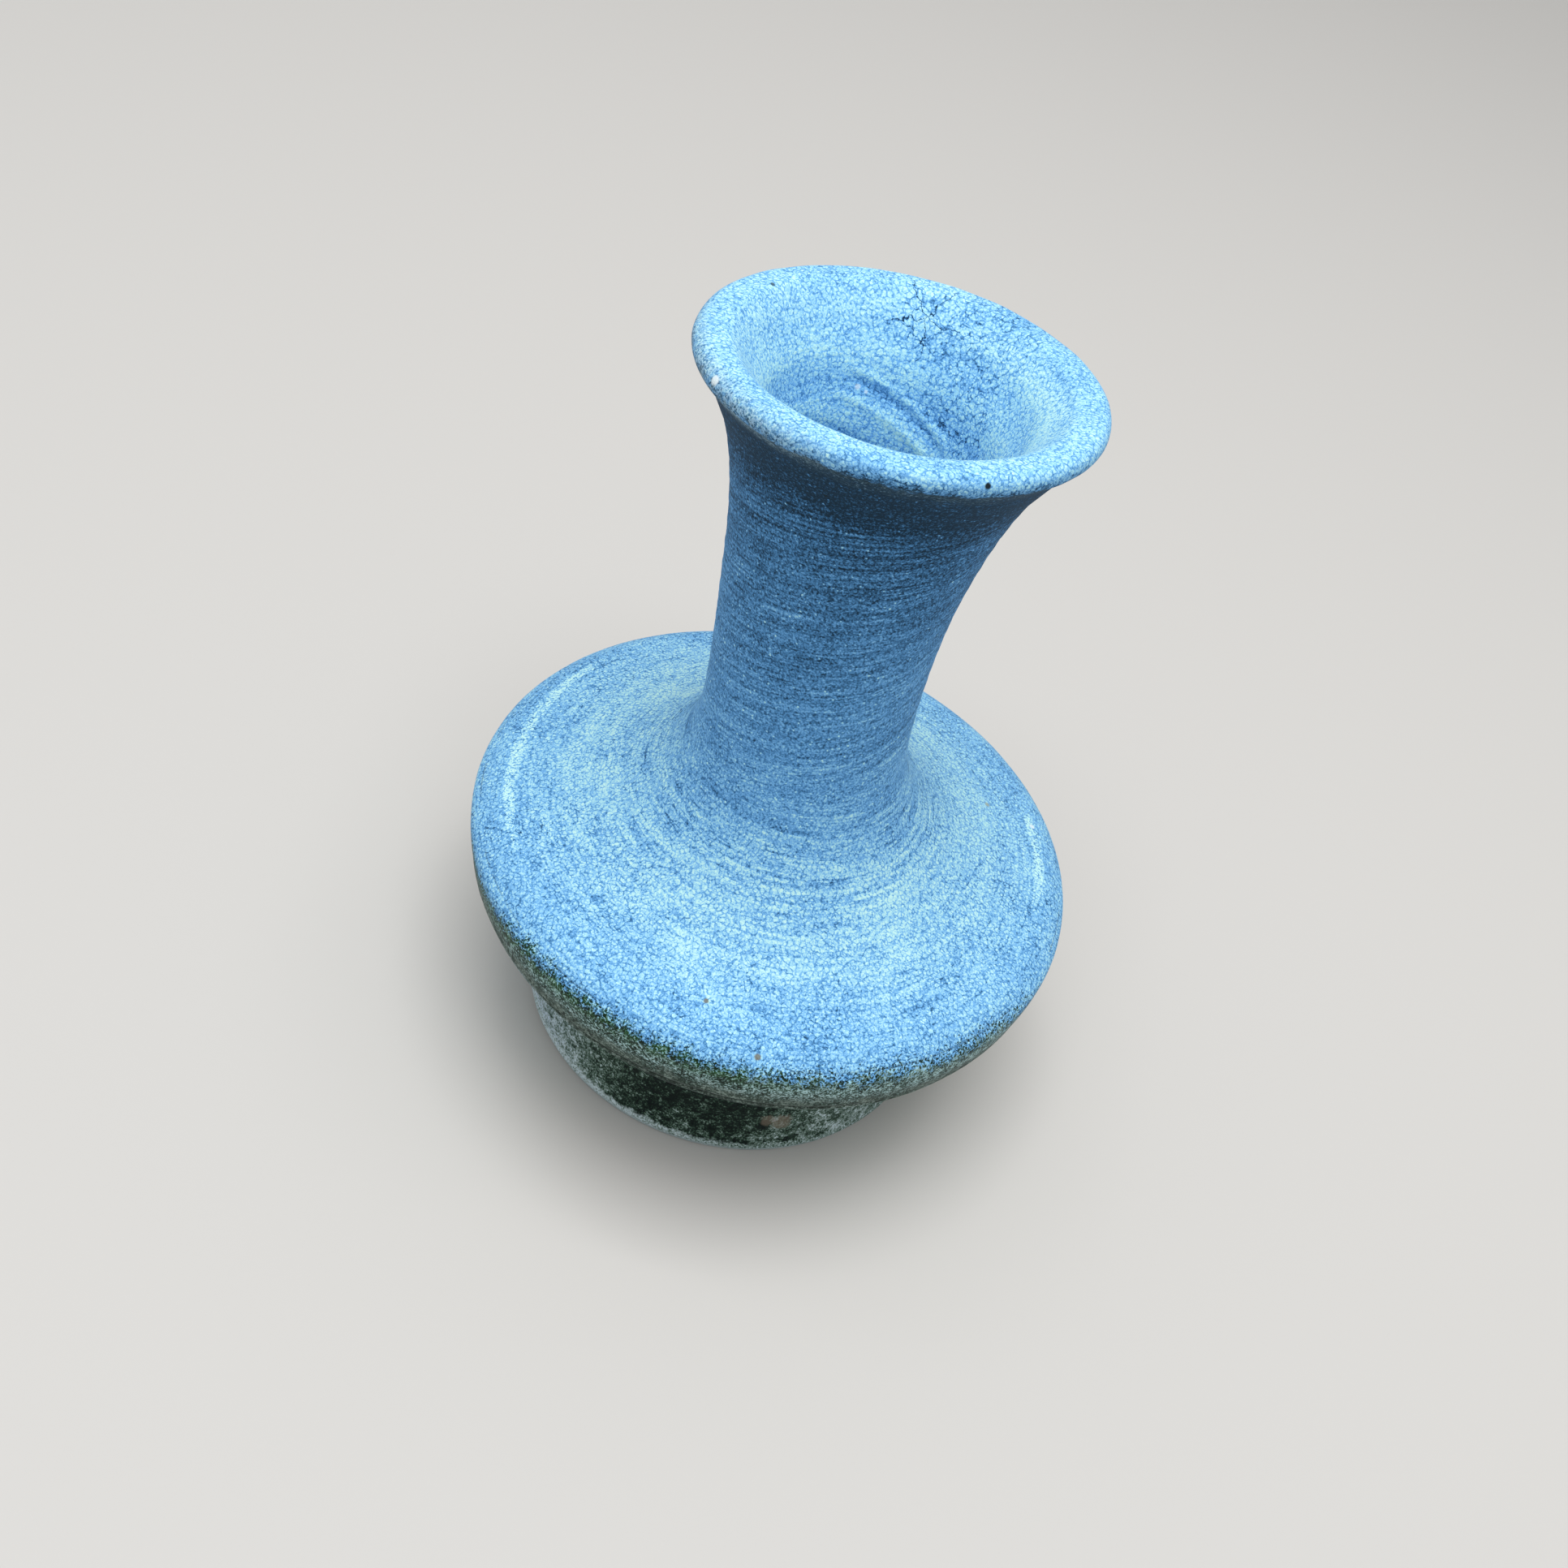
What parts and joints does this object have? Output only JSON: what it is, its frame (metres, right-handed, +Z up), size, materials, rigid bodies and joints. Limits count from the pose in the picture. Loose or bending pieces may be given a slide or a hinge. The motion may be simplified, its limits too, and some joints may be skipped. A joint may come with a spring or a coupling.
{
  "type": "bud vase",
  "caption": "Small stoneware bud vase with a flared rolled lip, a slender leaning neck, a wide saucer shoulder and a turned foot, blue over green matt glaze.",
  "frame": {"origin": "centre of the foot's resting face", "axes": "+Z up along the foot's axis; +X to the right and +Y away from the viewer, as the picture is taken; the neck leans slightly towards -X"},
  "size_m": [0.0818, 0.0818, 0.1083],
  "materials": {
    "clay": "bare fired stoneware, pinkish brown, fine-grained and dry",
    "green_glaze": "dark green to black satin base glaze, mottled with grey",
    "blue_glaze": "dry matt sprayed blue, finely speckled and crackled",
    "liner_glaze": "dark satin lining"
  },
  "bodies": {
    "root": {"foot_ring": "clay", "bowl": "clay", "shoulder": "clay", "neck": "clay", "lip": "clay", "green_glaze": "green_glaze", "blue_glaze": "blue_glaze", "liner_glaze": "liner_glaze"}
  },
  "joints": []
}
